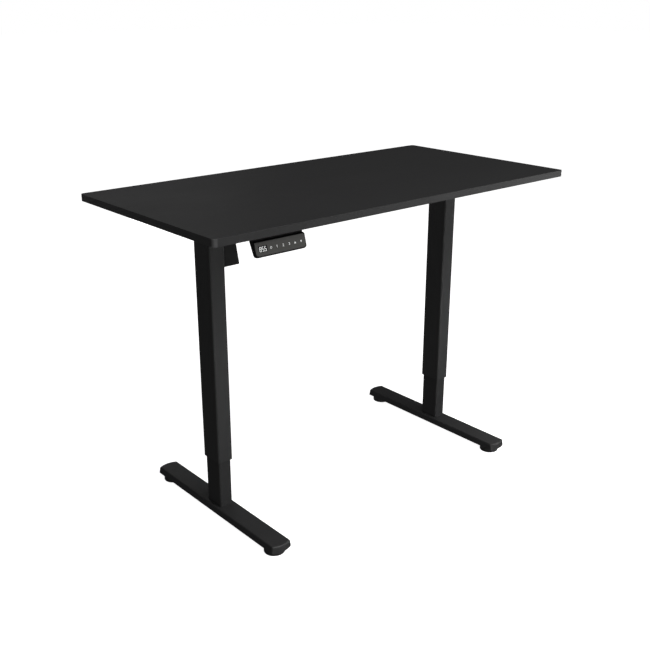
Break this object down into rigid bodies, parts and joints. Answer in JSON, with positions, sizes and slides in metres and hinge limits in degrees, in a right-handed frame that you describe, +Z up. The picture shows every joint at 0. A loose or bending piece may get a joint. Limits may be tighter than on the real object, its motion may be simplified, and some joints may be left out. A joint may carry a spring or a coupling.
{
  "type": "height adjustable standing desk",
  "caption": "Sit-stand desk: a rectangular top on two telescoping T-foot columns, raised together by a shaft-linked motor and worked from a touch handset under the front edge.",
  "frame": {"origin": "on the floor under the middle of the desktop, at the bottom of the levelling pads", "axes": "+X along the desk to the user's right, -Y towards the user, +Z up; stored at the shown height"},
  "size_m": [1.2, 0.6, 0.855],
  "materials": {
    "desktop_laminate": "matt dark laminate with a faint fine grain",
    "edge_band": "satin dark edge band",
    "frame_paint": "fine textured black powder coat",
    "glide_plastic": "black acetal",
    "cast_housing": "cast, painted black",
    "machined_steel": "turned and oiled",
    "gear_steel": "machined",
    "zinc_steel": "zinc plated",
    "nut_brass": "machined",
    "motor_can": "drawn steel can, black",
    "cover_plastic": "moulded, lightly glossy",
    "box_plastic": "moulded, fine spark texture",
    "circuit_board": "solder resist",
    "handset_plastic": "moulded, satin",
    "handset_panel": "flat touch panel, lightly glossy",
    "pad_plastic": "moulded nylon",
    "gland_rubber": "matt"
  },
  "bodies": {
    "base": {"foot_left": "frame_paint", "foot_right": "frame_paint", "inner_tube_left": "frame_paint", "inner_tube_right": "frame_paint", "end_blocks": "zinc_steel", "foot_screws": "zinc_steel", "levelling_nut_plates": "zinc_steel", "nut_carriers": "glide_plastic", "lead_nuts": "nut_brass", "inner_glide_left": "glide_plastic", "inner_glide_right": "glide_plastic"},
    "upper": {"desktop_board": "desktop_laminate", "edge_band": "edge_band", "desktop_screws": "zinc_steel", "small_screws": "zinc_steel", "rail_front": "frame_paint", "rail_back": "frame_paint", "rail_nuts": "zinc_steel", "frame_bolts": "zinc_steel", "side_bracket_left": "frame_paint", "side_bracket_right": "frame_paint", "column_top_plate_left": "frame_paint", "column_top_plate_right": "frame_paint", "outer_tube_left": "frame_paint", "outer_tube_right": "frame_paint", "lower_bushing_left": "glide_plastic", "lower_bushing_right": "glide_plastic", "gear_housing_left": "cast_housing", "gear_housing_right": "cast_housing", "gear_housing_lids": "cast_housing", "screw_bearings": "zinc_steel", "motor_gearbox": "cast_housing", "motor": "motor_can", "motor_screws": "zinc_steel", "motor_cover": "cover_plastic", "motor_cover_screw": "zinc_steel", "control_box_shell": "box_plastic", "control_box_base": "box_plastic", "control_box_board": "circuit_board", "mains_inlet": "box_plastic", "handset_body": "handset_plastic", "handset_face": "handset_panel", "handset_display": "handset_panel", "handset_gland": "gland_rubber"},
    "screw_left": {"lead_screw_left": "machined_steel", "screw_gear_left": "gear_steel"},
    "screw_right": {"lead_screw_right": "machined_steel", "screw_gear_right": "gear_steel"},
    "drive": {"drive_shaft": "machined_steel", "shaft_gears": "gear_steel", "drive_sleeve": "gear_steel"},
    "pad_front_left": {"levelling_pad_front_left": "pad_plastic", "levelling_stem_front_left": "zinc_steel"},
    "pad_front_right": {"levelling_pad_front_right": "pad_plastic", "levelling_stem_front_right": "zinc_steel"},
    "pad_back_left": {"levelling_pad_back_left": "pad_plastic", "levelling_stem_back_left": "zinc_steel"},
    "pad_back_right": {"levelling_pad_back_right": "pad_plastic", "levelling_stem_back_right": "zinc_steel"}
  },
  "joints": [
    {"name": "lift", "type": "slide", "parent": "base", "child": "upper", "axis": [0, 0, 1], "range_m": [-0.13, 0.32]},
    {"name": "screw_left_spin", "type": "hinge", "parent": "upper", "child": "screw_left", "pos_m": [-0.42, -0.004, 0.8], "axis": [0, 0, 1], "range_deg": [-5850, 14400]},
    {"name": "screw_right_spin", "type": "hinge", "parent": "upper", "child": "screw_right", "pos_m": [0.42, -0.004, 0.8], "axis": [0, 0, 1], "range_deg": [-5850, 14400]},
    {"name": "drive_spin", "type": "hinge", "parent": "upper", "child": "drive", "pos_m": [0, -0.004, 0.819], "axis": [1, 0, 0], "range_deg": [-5850, 14400]},
    {"name": "pad_front_left_adjust", "type": "slide", "parent": "base", "child": "pad_front_left", "axis": [0, 0, 1], "range_m": [-0.008, 0]},
    {"name": "pad_front_right_adjust", "type": "slide", "parent": "base", "child": "pad_front_right", "axis": [0, 0, 1], "range_m": [-0.008, 0]},
    {"name": "pad_back_left_adjust", "type": "slide", "parent": "base", "child": "pad_back_left", "axis": [0, 0, 1], "range_m": [-0.008, 0]},
    {"name": "pad_back_right_adjust", "type": "slide", "parent": "base", "child": "pad_back_right", "axis": [0, 0, 1], "range_m": [-0.008, 0]}
  ],
  "couplings": [
    {"joint": "screw_left_spin", "follows": "lift", "rad_per_m": 785.4},
    {"joint": "screw_right_spin", "follows": "lift", "rad_per_m": 785.4},
    {"joint": "drive_spin", "follows": "lift", "rad_per_m": 785.4}
  ]
}
